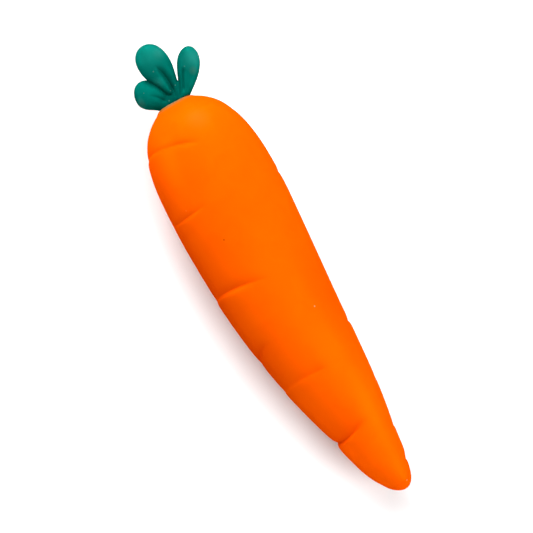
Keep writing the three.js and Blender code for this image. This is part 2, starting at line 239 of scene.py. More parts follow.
def grid_mesh(name, rings, start, end):
    """One mesh from rings of points, each ring closed on itself, with a point to close each end."""
    count, sides = rings.shape[:2]
    ring, side = np.meshgrid(np.arange(count - 1), np.arange(sides), indexing="ij")
    beside = (side + 1) % sides
    here, there = ring * sides, (ring + 1) * sides
    quads = np.stack([here + side, there + side, there + beside, here + beside], axis=-1).reshape(-1, 4)
    around = np.arange(sides)
    following = (around + 1) % sides
    first, last = count * sides, count * sides + 1
    final = (count - 1) * sides
    start_fan = np.stack([np.full(sides, first), around, following], axis=-1)
    end_fan = np.stack([final + following, final + around, np.full(sides, last)], axis=-1)
    points = np.concatenate([rings.reshape(-1, 3), [start], [end]])
    mesh = bpy.data.meshes.new(name)
    mesh.from_pydata(points.tolist(), [], quads.tolist() + start_fan.tolist() + end_fan.tolist())
    mesh.update()
    return mesh


def mesh_points(mesh):
    """The mesh's points as an array of rows."""
    points = np.empty(len(mesh.vertices) * 3)
    mesh.vertices.foreach_get("co", points)
    return points.reshape(-1, 3)


def mesh_volume(mesh):
    """The volume inside a closed mesh in cubic centimetres. Each triangle makes a thin pyramid with the
    origin, whose volume is a sixth of the triple product of its corners."""
    mesh.calc_loop_triangles()
    corners = np.empty(len(mesh.loop_triangles) * 3, int)
    mesh.loop_triangles.foreach_get("vertices", corners)
    points = mesh_points(mesh)[corners.reshape(-1, 3)]
    return np.einsum("ij,ij->i", points[:, 0], np.cross(points[:, 1], points[:, 2])).sum() / 6 / CM**3


def add_attribute(mesh, name, values):
    """A number at each of the mesh's points, for a material to read."""
    mesh.attributes.new(name, "FLOAT", "POINT").data.foreach_set("value", values)


def top_point(mesh, across, along):
    """The highest of the mesh's points near a place that is given in millimetres."""
    points = mesh_points(mesh)
    place = lie_down(along, across, 0.0)
    near = points[np.hypot(*(points - place).T[:2]) < TOP_SEARCH * MM]
    return near[np.argmax(near[:, 2])]


def add_piece(name, mesh, node):
    """A finished piece: it rides on the body and stands for its measured solid, which it hides."""
    mesh.materials.clear()
    mesh.shade_smooth()
    piece = add_object(name, mesh)
    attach(piece, "root")
    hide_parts(node)
    mesh.calc_loop_triangles()
    print(name, "has", len(mesh.loop_triangles), "triangles and", round(mesh_volume(mesh), 2), "cm3")
    return piece


# %% [markdown]
# ## The root
#
# The skin starts at the mouth of the socket, runs over the crown and ends at the tip. Round the socket it
# stands up in a low lip, where the soft rubber was squeezed out against the tuft. The lip is oval and lower
# at the front and back, because the neck that it holds is flat. A sculpted lip would do as well, but as one
# more term of the skin's formula it can be used a second time, to cut the underside of the tuft so that the
# two always fit.

# %% The root's skin
SOCKET_MOUTH = 0.14
LIP = {"radius": 6.3, "height": 0.5, "lean": -0.05, "dip": 0.4, "width": 1.0, "narrowing": 1.75}
SEAT_LEAN = 0.02
SEAT_LEAN_REACH = 8
SEAT_ACROSS = float(root_bend(np.array(0.0)))


def root_skin(along, angle, grown=0.0):
    """The ring of radius(along) less the creases, about the bent middle. The lip lifts the skin towards
    the crown as a bell across its own radius, less at the front and back, and the seat leans by a share of
    the distance across."""
    radius = root_radius(along) - all_creases(along, angle)
    turned = np.radians(angle)
    across = radius * np.sin(turned)
    up = radius * np.cos(turned)
    height = LIP["height"] + LIP["lean"] * np.sin(turned) - LIP["dip"] * np.cos(turned) ** 2
    lip = height * bell((np.hypot(across, up * LIP["narrowing"]) - LIP["radius"]) / LIP["width"])
    lean = SEAT_LEAN * across * bell(radius / SEAT_LEAN_REACH)
    return lie_down(along - lip + lean - grown, root_bend(along) + across, up)


crown_lip = root_skin(np.array(0.0), np.array([0.0, 90.0])) / MM
print("the seat's edge is", crown_lip.round(2).tolist(), "mm at the front and the side")

# %% [markdown]
# ## Where the rows go
#
# A grid needs its rows where the shape changes. Equal steps along the axis would leave the blunt crown bare,
# so the rows are placed at equal steps along the skin, and closer together at the lip and at each crease.
# The other way, a fine grid everywhere, would spend its faces on the plain stretches in between.

# %% Rows along the skin
ROOT_ROWS = 540
ROOT_SIDES = 180
FINE_ROWS = 20000
LIP_CLOSENESS = 3
LIP_REACH = 2.5
CREASE_CLOSENESS = 1
CREASE_REACH = 3


def closeness(along):
    """1 on plain skin, with a bell added at the lip and one at each crease."""
    crowded = 1 + LIP_CLOSENESS * bell(along / LIP_REACH)
    for crease in CREASES:
        crowded = crowded + CREASE_CLOSENESS * bell((along - crease["at"]) / CREASE_REACH)
    return crowded


def packed_rows(start, end, count):
    """Places along the root, spaced by distance along the skin. The steps are shorter near the lip and the
    creases, by as much as "closeness" says there."""
    fine = np.linspace(start, end, FINE_ROWS)
    steps = np.hypot(np.diff(fine), np.diff(root_radius(fine)))
    travelled = np.concatenate([[0], np.cumsum(steps * closeness((fine[1:] + fine[:-1]) / 2))])
    return np.interp(np.linspace(0, travelled[-1], count), travelled, fine)


root_rows = packed_rows(SOCKET_MOUTH, ROOT_LENGTH, ROOT_ROWS)[:-1]
root_angles = np.linspace(-180, 180, ROOT_SIDES, endpoint=False)[None, :]
print("the rows are", np.diff(root_rows).min().round(3), "to", np.diff(root_rows).max().round(2), "mm apart")

# %% [markdown]
# ## Where the orange changes
#
# The orange is painted a little deeper along some stretches and paler along others: painted shade on the
# flanks, and painted light along the top and on the left towards the tip. Round the seat the rubber is
# stained with a tan film where glue met it. These changes follow the shape, so they are worked out by the
# same two parameters as the skin, and stored on the mesh as attributes for the material to read. Painted
# textures would do the same, but they would need a UV map and an image.

# %% Painted light and shade on the root
# Places where the orange is painted: a share above 0 is painted shade, and below 0 painted light.
PAINTED_TONES = (
    {"along": 85, "angle": 58, "length": 24, "turn": 28, "share": 0.45},
    {"along": 146, "angle": 35, "length": 10, "turn": 25, "share": 0.25},
    {"along": 60, "angle": -90, "length": 42, "turn": 34, "share": 0.8},
    {"along": 95, "angle": -85, "length": 8, "turn": 25, "share": 0.3},
    {"along": 136, "angle": -62, "length": 3, "turn": 22, "share": -0.6},
    {"along": 142, "angle": -65, "length": 14, "turn": 30, "share": -0.9},
    {"along": 120, "angle": -55, "length": 12, "turn": 20, "share": -0.5},
    {"along": 66, "angle": 0, "length": 10, "turn": 13, "share": -0.25},
    {"along": 85, "angle": 9, "length": 12, "turn": 14, "share": -0.3},
    {"along": 100, "angle": 18, "length": 8, "turn": 15, "share": -0.4},
    {"along": 119, "angle": 32, "length": 9, "turn": 14, "share": -0.25},
)
RIM_FADE = (3.5, 9.5)
RIM_DEEPEST = 10


def painted_tone(along, angle):
    """The painted shade or light in places: a bell along the root times one round it, for each place. Above 0
    is painted shade and below 0 is painted light."""
    return sum(
        place["share"]
        * bell((along - place["along"]) / place["length"])
        * bell((np.mod(angle - place["angle"] + 180, 360) - 180) / place["turn"])
        for place in PAINTED_TONES
    )


def rim(along):
    """1 at the seat, falling to 0 as the crown's radius grows, and 0 on the rest of the root."""
    return (1 - smooth_step(*RIM_FADE, root_radius(along))) * (along < RIM_DEEPEST)


print("deepest tone", round(float(painted_tone(root_rows[:, None], np.arange(-180, 180)).max()), 2))

# %% [markdown]
# ## The socket, and the whole root
#
# The tuft's plug is glued into a blind socket in the crown, so the skin turns in at the socket's mouth and
# runs down its wall to the floor. One surface from the middle of that floor to the tip is closed by itself.
# Cutting the socket with a boolean would leave long thin faces at its mouth.

# %% Make the root
PLUG_DEPTH = 9
PLUG_CHAMFER = 0.8
GLUE_GAP = 0.3


def root_mesh():
    """Two rings for the socket's floor and the foot of its wall, then the skin from the socket's mouth on."""
    wall = root_radius(np.array(SOCKET_MOUTH))
    depth = PLUG_DEPTH + GLUE_GAP
    socket_along = np.array([[depth], [depth - PLUG_CHAMFER]])
    socket_radius = np.array([[wall - PLUG_CHAMFER], [wall]])
    turned = np.radians(root_angles)
    socket = lie_down(
        socket_along, SEAT_ACROSS + socket_radius * np.sin(turned), socket_radius * np.cos(turned)
    )
    skin = root_skin(root_rows[:, None], root_angles)
    start = lie_down(depth, SEAT_ACROSS, 0.0)
    end = lie_down(ROOT_LENGTH, float(root_bend(np.array(ROOT_LENGTH))), 0.0)
    mesh = grid_mesh("root", np.concatenate([socket, skin]), start, end)
    add_root_attributes(mesh)
    return mesh


def add_root_attributes(mesh):
    """The creases' depth, the painted shade and light and the rim at each point. The socket's two rings and
    the two closing points, which come first and last, hold plain values."""
    rows = root_rows[:, None]
    painted_tones = painted_tone(rows, root_angles)
    masks = {
        "crease": (all_creases(rows, root_angles), 0, 0),
        # The painted shade and the painted light of the orange.
        "deep": (np.clip(painted_tones, 0, 1), 0, 0),
        "pale": (np.clip(-painted_tones, 0, 1), 0, 0),
        "rim": (np.broadcast_to(rim(rows), painted_tones.shape), 1, 0),
    }
    for name, (on_skin, in_socket, at_tip) in masks.items():
        socket = np.full(2 * ROOT_SIDES, in_socket)
        add_attribute(mesh, name, np.concatenate([socket, on_skin.ravel(), [in_socket, at_tip]]))


root = add_piece("carrot_root", root_mesh(), "root_body")

# %% [markdown]
# ## The tuft
#
# The tuft is one lump of rubber: three fat leaves, like the top of a cartoon carrot, that run together in a
# flat neck. Each leaf is a thick rounded blade along a curve, and its outline is what the eye reads first, so
# the formula is built round it: a half-width that swells to a fullest place and then rounds off. The same
# shape could be a bevelled curve, but then its width and its thickness couldn't change apart. Each leaf's
# path, root share, fullest place and roundness come from a least-squares fit to the outline. Its width was
# fitted too and then widened, and the rest was set one by one.

# %% The leaves
LEAVES = (
    {
        "path": ((-0.05, 1.69), (-3.39, -6.59), (-9.0, -9.84)),
        "width": 5.05,
        "root_share": 0.54,
        "fullest": 0.59,
        "roundness": 2.45,
        "root_thickness": 1.8,
        "thickness": 3.5,
        "lift": -1.4,
    },
    {
        "path": ((3.78, 0.68), (2.48, -10.66), (1.24, -22.07)),
        "width": 5.6,
        "root_share": 0.33,
        "fullest": 0.67,
        "roundness": 2.38,
        "root_thickness": 1.8,
        "thickness": 4.3,
        "lift": 1.9,
    },
    {
        "path": ((4.76, 0.39), (10.68, -4.84), (15.52, -14.24)),
        "width": 4.04,
        "root_share": 0.49,
        "fullest": 0.7,
        "roundness": 2.05,
        "root_thickness": 2.7,
        "thickness": 3.3,
        "lift": 1.2,
    },
)
LEAF_ROOT_RUN = -0.25
LEAF_ROWS = 160
LEAF_SIDES = 192


def full_turn(sides):
    """Even angles all round, in radians."""
    return np.linspace(0, 2 * np.pi, sides, endpoint=False)[None, :]


def bezier(path, share):
    """A Bezier curve of three points: where it is at each share of its way, which way it heads there and how
    fast it runs. Its slope goes evenly from twice the first leg to twice the second."""
    start, bend, end = (np.array(point) for point in path)
    place = start * (1 - share) ** 2 + bend * 2 * share * (1 - share) + end * share**2
    slope = 2 * (bend - start) * (1 - share) + 2 * (end - bend) * share
    speed = np.linalg.norm(slope, axis=1, keepdims=True)
    return place, slope / speed, speed


def leaf_points(leaf, share, angle):
    """A Bezier curve gives the blade's middle. Across it the section is an ellipse, whose width and thickness
    swell from the root to the fullest place and are then rounded off to the tip."""
    share = share[:, None]
    middle, heading, _ = bezier(leaf["path"], share)
    swell = np.sin(np.pi / 2 * np.clip(share / leaf["fullest"], 0, 1)) ** 2
    past = np.clip((share - leaf["fullest"]) / (1 - leaf["fullest"]), 0, 1)
    cap = np.sqrt(1 - past ** leaf["roundness"])
    half_width = leaf["width"] * (leaf["root_share"] + (1 - leaf["root_share"]) * swell) * cap
    half_thickness = (leaf["root_thickness"] + (leaf["thickness"] - leaf["root_thickness"]) * swell) * cap
    side, height = np.cos(angle), np.sin(angle)
    across = middle[:, :1] - heading[:, 1:] * half_width * side
    along = middle[:, 1:] + heading[:, :1] * half_width * side
    return lie_down(along, across, leaf["lift"] * np.clip(share, 0, 1) + half_thickness * height)


def leaf_mesh(leaf):
    """The leaf as a closed grid, with its rows closer together towards the tip."""
    turns = np.linspace(0, np.pi / 2, LEAF_ROWS)
    shares = LEAF_ROOT_RUN + (1 - LEAF_ROOT_RUN) * np.sin(turns)
    angles = full_turn(LEAF_SIDES)
    rings = leaf_points(leaf, shares[:-1], angles)
    tip = leaf_points(leaf, shares[-1:], angles)[0, 0]
    return grid_mesh("leaf", rings, rings[0].mean(axis=0), tip)


leaves = [leaf_mesh(leaf) for leaf in LEAVES]
print("leaves of", [round(mesh_volume(leaf), 2) for leaf in leaves], "cm3")

# %% [markdown]
# ## The neck and the fingers between the leaves
#
# The leaves run into a flat egg of rubber, the neck. A finger rises from it along the middle leaf, where the
# fold leaves a rounded ridge, and a short web closes the gap between the middle leaf and the right one. A
# finger is the simplest limb there is: an oval tube along a curve, rounded off at both ends.

# %% The neck and the fingers
NECK = {"along": 0.5, "across": 1.5, "half_length": 5.0, "half_width": 5.3, "half_thickness": 2.3}
LOBES = (
    {
        "path": ((2.0, -2.7), (2.3, -8.0), (0.0, -16.0)),
        "half_width": 2.3,
        "half_thickness": 2.3,
        "height": (1.3, 2.9),
        "bluntness": 0.6,
    },
    {
        "path": ((4.8, -1.2), (5.5, -3.2), (6.25, -5.3)),
        "half_width": 1.1,
        "half_thickness": 1.3,
        "height": (0.4, 0.6),
        "bluntness": 0.5,
    },
)
LOBE_ROWS = 80
LOBE_SIDES = 64
NECK_ROWS = 64
NECK_SIDES = 96


def lobe_mesh(lobe):
    """A finger: an elliptical tube along a Bezier curve, rounded off at both ends as a circle is."""
    turns = np.linspace(0, np.pi, LOBE_ROWS)[:, None]
    share = (1 - np.cos(turns)) / 2
    cap = np.sin(turns) ** lobe["bluntness"]
    middle, heading, _ = bezier(lobe["path"], share)
    angles = full_turn(LOBE_SIDES)
    sideways = lobe["half_width"] * cap * np.cos(angles)
    height = lobe["height"][0] * (1 - share) + lobe["height"][1] * share
    height = height + lobe["half_thickness"] * cap * np.sin(angles)
    points = lie_down(
        middle[:, 1:] + heading[:, :1] * sideways, middle[:, :1] - heading[:, 1:] * sideways, height
    )
    return grid_mesh("lobe", points[1:-1], points[0, 0], points[-1, 0])


def neck_mesh():
    """An egg: an ellipsoid about the neck's middle."""
    angles = full_turn(NECK_SIDES)
    slopes = np.linspace(0, np.pi, NECK_ROWS)[1:-1, None]
    along = NECK["along"] - NECK["half_length"] * np.cos(slopes)
    across = NECK["across"] + NECK["half_width"] * np.sin(slopes) * np.sin(angles)
    up = NECK["half_thickness"] * np.sin(slopes) * np.cos(angles)
    start = lie_down(NECK["along"] - NECK["half_length"], NECK["across"], 0.0)
    end = lie_down(NECK["along"] + NECK["half_length"], NECK["across"], 0.0)
    return grid_mesh("neck", lie_down(along, across, up), start, end)


fingers = [lobe_mesh(lobe) for lobe in LOBES]
print("a neck of", round(mesh_volume(neck_mesh()), 2), "cm3 and", len(fingers), "fingers")

# %% [markdown]
# ## One lump of rubber
#
# The limbs are joined, the crown's own skin is cut away from below so that the tuft sits on the lip, and the
# plug is joined to the underside. A boolean leaves sharp seams, and a mould doesn't, so the surface is then
# made again from a fine grid of cubes and relaxed a little. That gives one closed skin with small fillets
# where limbs meet.

# %% The plug and the cutter
PLUG_RADIUS = 2.2
PLUG_TOP = -0.6
PLUG_SIDES = 96
SEAT_GAP = 0.08
SEAT_REACH = 12
SEAT_ROWS = 80


def plug_mesh():
    """A chamfered peg from inside the neck down to the floor of the socket."""
    angles = full_turn(PLUG_SIDES)
    along = np.array([[PLUG_TOP], [PLUG_DEPTH - PLUG_CHAMFER], [PLUG_DEPTH]])
    radius = np.array([[PLUG_RADIUS], [PLUG_RADIUS], [PLUG_RADIUS - PLUG_CHAMFER]])
    rings = lie_down(along, SEAT_ACROSS + radius * np.sin(angles), radius * np.cos(angles))
    start = lie_down(PLUG_TOP, SEAT_ACROSS, 0.0)
    return grid_mesh("plug", rings, start, lie_down(PLUG_DEPTH, SEAT_ACROSS, 0.0))


def crown_cutter():
    """The crown's own skin, moved out by the seat's gap and closed below, to cut the seat of the tuft."""
    rows = packed_rows(SOCKET_MOUTH, SEAT_REACH, SEAT_ROWS)
    rings = root_skin(rows[:, None], root_angles, SEAT_GAP)
    start = lie_down(-SEAT_GAP, SEAT_ACROSS, 0.0)
    return grid_mesh("cutter", rings, start, lie_down(2 * SEAT_REACH, SEAT_ACROSS, 0.0))


print("the plug is", PLUG_DEPTH, "mm deep and", 2 * PLUG_RADIUS, "mm thick")

# %% Join the limbs into one skin
TUFT_VOXEL = 0.16
RELAXED_SHARE = 0.5
LUMP_ROUNDS = 3


def applied(body, tools=()):
    """The mesh that an object has after its modifiers. The object and its tools are then removed."""
    made = bpy.data.meshes.new_from_object(body.evaluated_get(bpy.context.evaluated_depsgraph_get()))
    for leftover in (body, *tools):
        bpy.data.objects.remove(leftover)
    return made


def boolean(mesh, others, operation):
    """A mesh joined with, or cut by, other closed meshes."""
    body = add_object("body", mesh)
    tools = [add_object("tool", other) for other in others]
    for tool in tools:
        modifier = body.modifiers.new("boolean", "BOOLEAN")
        modifier.operation = operation
        modifier.solver = "MANIFOLD"
        modifier.object = tool
    return applied(body, tools)


def remade(mesh, voxel):
    """The same shape, covered again with even quads by a voxel remesh."""
    body = add_object("body", mesh)
    modifier = body.modifiers.new("remesh", "REMESH")
    modifier.mode = "VOXEL"
    modifier.voxel_size = voxel * MM
    return applied(body)


def relaxed(mesh, rounds):
    """Each point moves a share of the way to the average of its neighbours, as many times as asked."""
    edges = np.empty(len(mesh.edges) * 2, int)
    mesh.edges.foreach_get("vertices", edges)
    first, second = edges.reshape(-1, 2).T
    points = mesh_points(mesh)
    degree = np.bincount(edges, minlength=len(points))[:, None]
    for _ in range(rounds):
        total = np.stack(
            [
                np.bincount(first, points[second, axis], len(points))
                + np.bincount(second, points[first, axis], len(points))
                for axis in range(3)
            ],
            axis=-1,
        )
        points = points + RELAXED_SHARE * (total / degree - points)
    mesh.vertices.foreach_set("co", points.ravel())
    mesh.update()
    return mesh


grown = boolean(neck_mesh(), leaves + fingers, "UNION")
seated = boolean(grown, [crown_cutter()], "DIFFERENCE")
plugged = boolean(seated, [plug_mesh()], "UNION")
lump = relaxed(remade(plugged, TUFT_VOXEL), LUMP_ROUNDS)
print("the lump has", len(lump.polygons), "faces and", round(mesh_volume(lump), 2), "cm3")

# %% [markdown]
# ## Folds pressed into the tuft
#
# Real leaves fold along their middle, and the toy keeps four soft folds to say so: a deep one in the middle
# leaf, a narrow one in each of the others, and one where the middle leaf overlaps the left one. A fold
# follows a curve across two limbs or more, so it is pressed into the finished lump. Each point moves towards
# the tuft's middle plane by a depth that falls off exponentially from the curve, faster on one side than on
# the other. A sculpted stroke does the same by hand. The teal is painted darker in the folds and at a list of
# places round the neck and between the leaves, as painted shade, and that shade is stored with the points.

# %% The folds
FOLD_FIELDS = "path depth left right fade".split()
FOLD_SIZES = (
    (((1.7, -13.9), (4.1, -8.8), (2.8, -0.6)), 2.6, 0.4, 1.3, (0.4, 0.3)),
    (((10.3, -8.9), (8.3, -5.84), (5.8, -0.6)), 1.0, 0.25, 0.7, (0.3, 0.2)),
    (((-2.9, -10.6), (-0.8, -8.0), (1.3, -2.2)), 0.7, 0.4, 0.3, (0.2, 0.15)),
    (((-5.5, -6.3), (-2.3, -4.5), (-0.8, -1.0)), 0.6, 0.6, 0.6, (0.6, 0.2)),
)
FOLDS = [dict(zip(FOLD_FIELDS, sizes)) for sizes in FOLD_SIZES]
FOLD_ROUNDING = 0.15
FOLD_STEPS = 80


def fold_depth(fold, across, along):
    """The depth of a fold at a place. The path is a Bezier curve. From its nearest sample, the part of the
    step that runs ahead along the path says what share of the path has passed, which fades both ends. The
    part beside it is the distance for an exponential, with a width for each side."""
    shares = np.linspace(0, 1, FOLD_STEPS)[:, None]
    path, headings, speeds = bezier(fold["path"], shares)
    nearest = np.argmin((across[:, None] - path[:, 0]) ** 2 + (along[:, None] - path[:, 1]) ** 2, axis=1)
    step = np.stack([across, along], axis=-1) - path[nearest]
    heading = headings[nearest]
    ahead = heading[:, 0] * step[:, 0] + heading[:, 1] * step[:, 1]
    beside = heading[:, 1] * step[:, 0] - heading[:, 0] * step[:, 1]
    share = np.clip(shares[nearest, 0] + ahead / speeds[nearest, 0], 0, 1)
    width = np.where(beside > 0, fold["right"], fold["left"])
    fade = smooth_step(0, fold["fade"][0], share) * smooth_step(0, fold["fade"][1], 1 - share)
    return fold["depth"] * fade * np.exp((FOLD_ROUNDING - np.hypot(beside, FOLD_ROUNDING)) / width)


print(len(FOLDS), "folds, up to", max(fold["depth"] for fold in FOLDS), "mm deep")

# %% Press the folds
FOLD_BACK = 0.5
FOLD_SKIN = 1.5
FOLD_ROUNDS = 2
# How much painted shade a millimetre of fold gives the teal.
FOLD_PAINTED_SHADE = 0.07
# Places where the teal is painted darker, as painted shade: round the neck, between the leaves and on parts
# of the leaves.
PAINTED_SHADE_PLACES = (
    {"across": 2.0, "along": -0.8, "width": 4.5, "length": 2.5, "share": 0.75},
    {"across": -8.5, "along": -8.5, "width": 3.0, "length": 3.0, "share": 0.3},
    {"across": 10.5, "along": -8.5, "width": 3.5, "length": 6.0, "share": 0.25},
    {"across": 6.2, "along": -3.5, "width": 2.0, "length": 2.0, "share": 0.3},
    {"across": 3.6, "along": -4.0, "width": 1.4, "length": 2.5, "share": 0.3},
    {"across": 2.5, "along": -12.5, "width": 3.0, "length": 2.5, "share": 0.2},
    {"across": -10.2, "along": -7.4, "width": 2.0, "length": 3.5, "share": 0.4},
    {"across": 12.4, "along": -13.2, "width": 1.6, "length": 2.5, "share": 0.3},
    {"across": 7.2, "along": -6.6, "width": 1.6, "length": 2.2, "share": 0.35},
    {"across": 5.0, "along": -7.8, "width": 1.3, "length": 1.8, "share": 0.35},
    {"across": -3.2, "along": -10.8, "width": 1.5, "length": 1.5, "share": 0.35},
    {"across": 12.5, "along": -4.0, "width": 1.8, "length": 3.0, "share": 0.25},
    {"across": -1.0, "along": -2.9, "width": 1.8, "length": 1.2, "share": 0.35},
)


def painted_shade_near(place, across, along):
    """How much painted shade lies near a place: a bell of the distance, with its own width and length."""
    distance = np.hypot(
        (across - place["across"]) / place["width"], (along - place["along"]) / place["length"]
    )
    return place["share"] * bell(distance)


def press_folds(mesh):
    """Move each point of the skin towards the tuft's middle plane by the depth of the folds there, and
    underneath by FOLD_BACK of it. The move fades to nothing within FOLD_SKIN of that plane."""
    points = mesh_points(mesh) / MM
    x = points[:, 0] * math.cos(AXIS_TILT) + (points[:, 2] - AXIS_HEIGHT) * math.sin(AXIS_TILT)
    up = (points[:, 2] - AXIS_HEIGHT) * math.cos(AXIS_TILT) - points[:, 0] * math.sin(AXIS_TILT)
    along, across = REST_ALONG - x, -points[:, 1]
    depth = sum(fold_depth(fold, across, along) for fold in FOLDS)
    share = smooth_step(0, FOLD_SKIN, up) - FOLD_BACK * smooth_step(0, FOLD_SKIN, -up)
    moved = lie_down(along, across, up - depth * share)
    mesh.vertices.foreach_set("co", moved.ravel())
    mesh.update()
    # Painted shade: darker by the folds' depth and near the listed places.
    deep = FOLD_PAINTED_SHADE * depth + sum(painted_shade_near(place, across, along) for place in PAINTED_SHADE_PLACES)
    add_attribute(mesh, "deep", np.clip(deep, 0, 1))
    return mesh


pressed = relaxed(press_folds(lump), FOLD_ROUNDS)
tuft = add_piece("carrot_tuft", pressed, "leaf_tuft")

# %% [markdown]
# ## Materials written as expressions
#
# A material is a tree of nodes, and most of its branches are masks: numbers from 0 to 1 that say where a
# colour changes. Wired by hand, a mask is a dozen Math nodes. With a socket wrapped in a small class,
# Python's own operators add those nodes, and the mask reads like the sum it is. Every pattern is placed by
# Object coordinates or by an attribute on the mesh, so it stays on the rubber from whatever side it is seen.

# %% Shader sockets as values
class Value:
    """A socket in a material. Arithmetic on it adds Math nodes, so a mask is written as an expression."""

    def __init__(self, recipe, socket):
        self.recipe = recipe
        self.socket = socket

    def math(self, operation, first, second=0.0, clamped=False):
        settings = {"operation": operation, "use_clamp": clamped}
        return self.recipe.node("ShaderNodeMath", settings, {0: first, 1: second})

    def __add__(self, other):
        return self.math("ADD", self, other)

    def __sub__(self, other):
        return self.math("SUBTRACT", self, other)

    def __mul__(self, other):
        return self.math("MULTIPLY", self, other)

    def __rsub__(self, other):
        return self.math("SUBTRACT", other, self)

    __radd__ = __add__
    __rmul__ = __mul__

    def clamped(self):
        return self.math("ADD", self, 0.0, clamped=True)


class Recipe:
    """The nodes of one material, ending in a Principled shader."""

    def __init__(self, name):
        self.material = bpy.data.materials.new(name)
        self.material.use_nodes = True
        self.nodes = self.material.node_tree.nodes
        self.links = self.material.node_tree.links
        self.shader = self.nodes["Principled BSDF"]

    def node(self, kind, settings=None, sockets=None, output=0):
        """One node: its type, then its settings, then the values or links of its sockets."""
        made = self.nodes.new(kind)
        for name, value in (settings or {}).items():
            setattr(made, name, value)
        for name, value in (sockets or {}).items():
            self.feed(made.inputs[name], value)
        return Value(self, made.outputs[output])

    def feed(self, socket, value):
        """Link a value, or set a constant, with colours given as three numbers."""
        if isinstance(value, Value):
            self.links.new(value.socket, socket)
        elif isinstance(value, tuple) and len(value) == 3 and len(socket.default_value) == 4:
            socket.default_value = (*value, 1)
        else:
            socket.default_value = value

    def finish(self, **sockets):
        """Feed the Principled shader, with underscores for the spaces in its sockets' names."""
        for name, value in sockets.items():
            self.feed(self.shader.inputs[name.replace("_", " ")], value)
        return self.material

    def place(self):
        """Where a point of the surface is, in metres."""
        return self.node("ShaderNodeTexCoord", output="Object")

    def noise(self, size, detail=2.0, distortion=0.0):
        """Soft noise from 0 to 1 whose blobs are about "size" millimetres across."""
        sockets = {
            "Vector": self.place(),
            "Scale": 1 / (size * MM),
            "Detail": detail,
            "Distortion": distortion,
        }
        return self.node("ShaderNodeTexNoise", {}, sockets)

    def spot(self, point, radius, softness=1.0):
        """1 at a point, falling to 0 at "radius" millimetres, over the last share "softness" of them."""
        sockets = {0: self.place(), 1: tuple(point)}
        distance = self.node("ShaderNodeVectorMath", {"operation": "DISTANCE"}, sockets, "Value")
        return ((radius * MM - distance) * (1 / (radius * softness * MM))).clamped()

    def attribute(self, name):
        """A number that the mesh holds at each of its points."""
        return self.node("ShaderNodeAttribute", {"attribute_name": name}, {}, "Fac")

    def blend(self, first, second, share):
        """From the first colour to the second as the share goes from 0 to 1."""
        return self.node("ShaderNodeMix", {"data_type": "RGBA"}, {0: share, 6: first, 7: second}, 2)

    def bump(self, height, distance, strength):
        """A bump whose height of 1 stands for "distance" millimetres."""
        sockets = {"Height": height, "Distance": distance * MM, "Strength": strength}
        return self.node("ShaderNodeBump", {}, sockets)


# %% [markdown]
# ## Satin rubber
#
# Both pieces are cast in one substance, a soft rubber with a satin skin: no sharp reflection, only a broad
# sheen in the rubber's own colour. A plain dielectric would lay a white gloss over it and wash the colour
# out, so its specular level is 0, and a trace of Metallic gives a sheen that is tinted instead. Two
# materials that are meant to be one substance should differ in their colours only, so one function finishes
# both, and another sets their specks of dirt and dust.

# %% Satin rubber
SHEEN = 0.1
ROUGHNESS = 0.33
SMEARED_ROUGHNESS = 0.12
GRAIN_SIZE = 0.35
GRAIN_HEIGHT = 0.01
GRAIN_STRENGTH = 0.3
SPECK_SOFTNESS = 0.6


def smears(recipe, size):
    """Noise that is pulled out of shape, like the marks that fingers leave."""
    return recipe.noise(size, detail=6, distortion=0.8)


def specked(recipe, colour, mesh, specks):
    """The colour with each speck blended in as a small spot at its own place."""
    for speck in specks:
        point = top_point(mesh, speck["across"], speck["along"])
        colour = recipe.blend(colour, speck["colour"], recipe.spot(point, speck["radius"], SPECK_SOFTNESS))
    return colour


def satin(recipe, colour, smear, tint):
    """The finished rubber: its roughness varies with the smears, and a fine grain breaks up its sheen."""
    return recipe.finish(
        Base_Color=colour,
        Metallic=SHEEN,
        Roughness=ROUGHNESS + SMEARED_ROUGHNESS * smear,
        Specular_IOR_Level=0.0,
        Specular_Tint=tint,
        Normal=recipe.bump(recipe.noise(GRAIN_SIZE), GRAIN_HEIGHT, GRAIN_STRENGTH),
    )


# %% [markdown]
# ## Orange rubber
#
# The root is a saturated orange. Soft noise smears it by the width of a finger. The painted shade and light
# come from the mesh, and so do the creases, which are painted darker as painted shade. The rim gets its tan
# film with a little paler dust, the crown gets a faint painted highlight where it catches the light, and a
# few specks are placed one by one.

# %% Orange rubber
ORANGE = (0.745, 0.0735, 0.0)
SMEARED_ORANGE = (0.765, 0.0905, 0.0)
# Painted shade and painted light.
PAINTED_SHADE_ORANGE = (0.6, 0.05, 0.0)
PAINTED_LIGHT_ORANGE = (0.93, 0.1, 0.0)
# Painted shade in the creases.
CREASE_SHADE_ORANGE = (0.68, 0.05, 0.0)
RIM_TAN = (0.22, 0.09, 0.0)
RIM_DUST = (0.3, 0.16, 0.09)
# A painted highlight: the orange faintly whitened where the crown catches the light.
HIGHLIGHT_ORANGE = (0.74, 0.079, 0.003)
ORANGE_TINT = (1.0, 0.3, 0.0)
ORANGE_SMEAR = 7
CREASE_SHADE_SHARE = 0.8
RIM_DUST_SIZE = 1.2
# Where the painted highlight on the crown lies.
CROWN_HIGHLIGHT = {"across": 5.9, "along": 9.9, "radius": 5.5, "least": 0.4}
ORANGE_SPECKS = (
    {"across": -7.8, "along": 50.7, "radius": 0.4, "colour": (0.3, 0.035, 0.0)},
    {"across": 8.4, "along": 85.6, "radius": 0.4, "colour": (0.8, 0.18, 0.06)},
    {"across": 6.0, "along": 155.9, "radius": 0.35, "colour": (0.8, 0.2, 0.08)},
    {"across": -18.8, "along": 27.7, "radius": 0.3, "colour": (0.8, 0.14, 0.03)},
    {"across": -13.7, "along": 36.0, "radius": 0.3, "colour": (0.8, 0.14, 0.03)},
)


